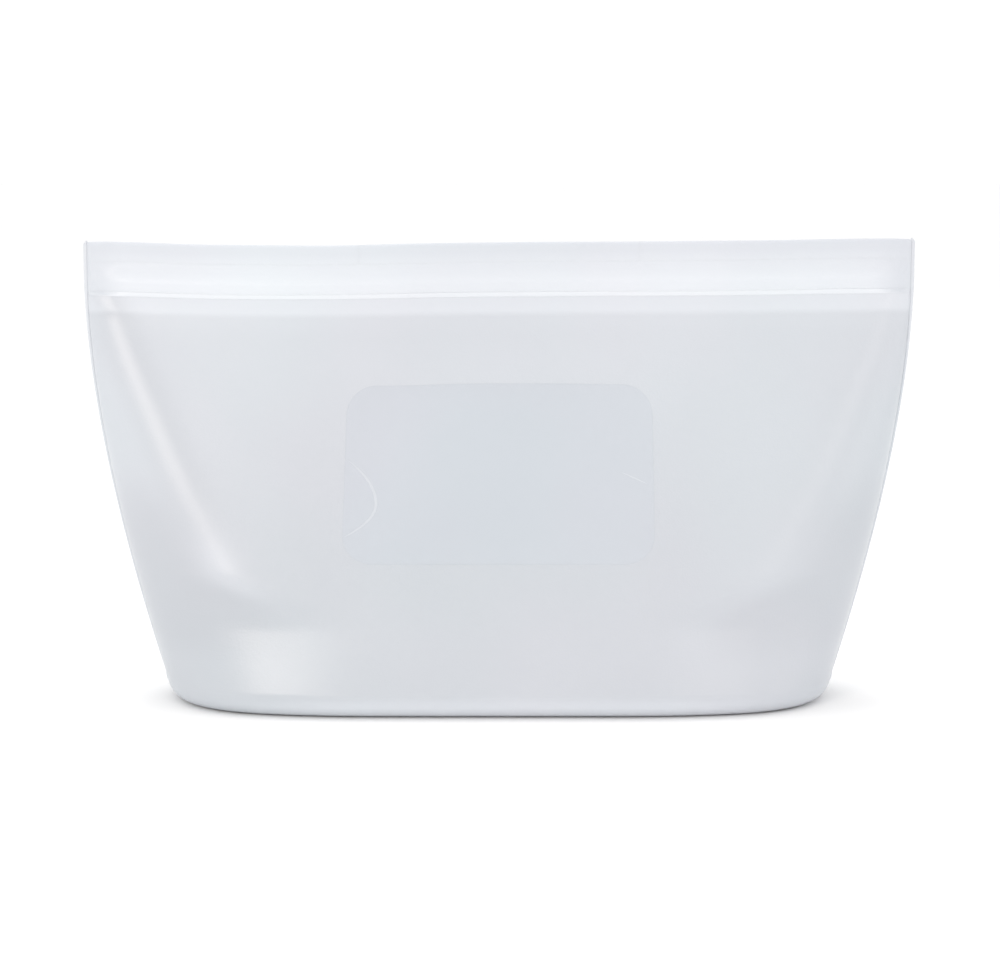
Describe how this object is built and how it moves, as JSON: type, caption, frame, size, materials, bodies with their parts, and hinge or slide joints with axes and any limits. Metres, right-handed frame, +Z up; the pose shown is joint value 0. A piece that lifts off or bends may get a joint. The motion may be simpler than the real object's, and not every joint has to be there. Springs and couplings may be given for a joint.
{
  "type": "reusable silicone bag",
  "caption": "Frosted silicone stand-up storage bag, wide at the top with an oval base, a press-to-close zip, grip lips and a smooth writing window.",
  "frame": {"origin": "centre of the bag's bounding box in plan, at floor level under the base", "axes": "+X along the bag's width (along the zip), +Y from the front wall to the rear wall, +Z up"},
  "size_m": [0.266, 0.082, 0.147],
  "materials": {
    "silicone_wall": "frosted, translucent, satin",
    "silicone_base": "frosted, translucent, satin",
    "silicone_seam": "frosted, translucent, satin",
    "silicone_zip": "thicker and whiter, satin",
    "silicone_lip": "thin, translucent, satin",
    "label_smooth": "polished smooth"
  },
  "bodies": {
    "base": {"base_panel": "silicone_base", "heel_ring": "silicone_base", "left_side_seam": "silicone_seam", "right_side_seam": "silicone_seam", "left_zip_end": "silicone_seam", "right_zip_end": "silicone_seam"},
    "front_wall": {"front_panel": "silicone_wall", "label_window": "label_smooth", "front_weld_bead": "silicone_zip", "front_zip_rib": "silicone_zip"},
    "rear_wall": {"rear_panel": "silicone_wall", "rear_weld_bead": "silicone_zip", "rear_zip_channel": "silicone_zip"},
    "front_lip": {"front_lip": "silicone_lip"},
    "rear_lip": {"rear_lip": "silicone_lip"}
  },
  "joints": [
    {"name": "front_wall_open", "type": "hinge", "parent": "base", "child": "front_wall", "pos_m": [0, -0.04018, 0.0073], "axis": [1, 0, 0], "range_deg": [0, 18], "stiffness_Nm_per_rad": 0.01},
    {"name": "rear_wall_open", "type": "hinge", "parent": "base", "child": "rear_wall", "pos_m": [0, 0.04018, 0.0073], "axis": [-1, 0, 0], "range_deg": [0, 18], "stiffness_Nm_per_rad": 0.01},
    {"name": "front_lip_peel", "type": "hinge", "parent": "front_wall", "child": "front_lip", "pos_m": [0, -0.0007, 0.14085], "axis": [1, 0, 0], "range_deg": [0, 35], "stiffness_Nm_per_rad": 0.01},
    {"name": "rear_lip_peel", "type": "hinge", "parent": "rear_wall", "child": "rear_lip", "pos_m": [0, 0.0007, 0.14085], "axis": [-1, 0, 0], "range_deg": [0, 35], "stiffness_Nm_per_rad": 0.01}
  ]
}
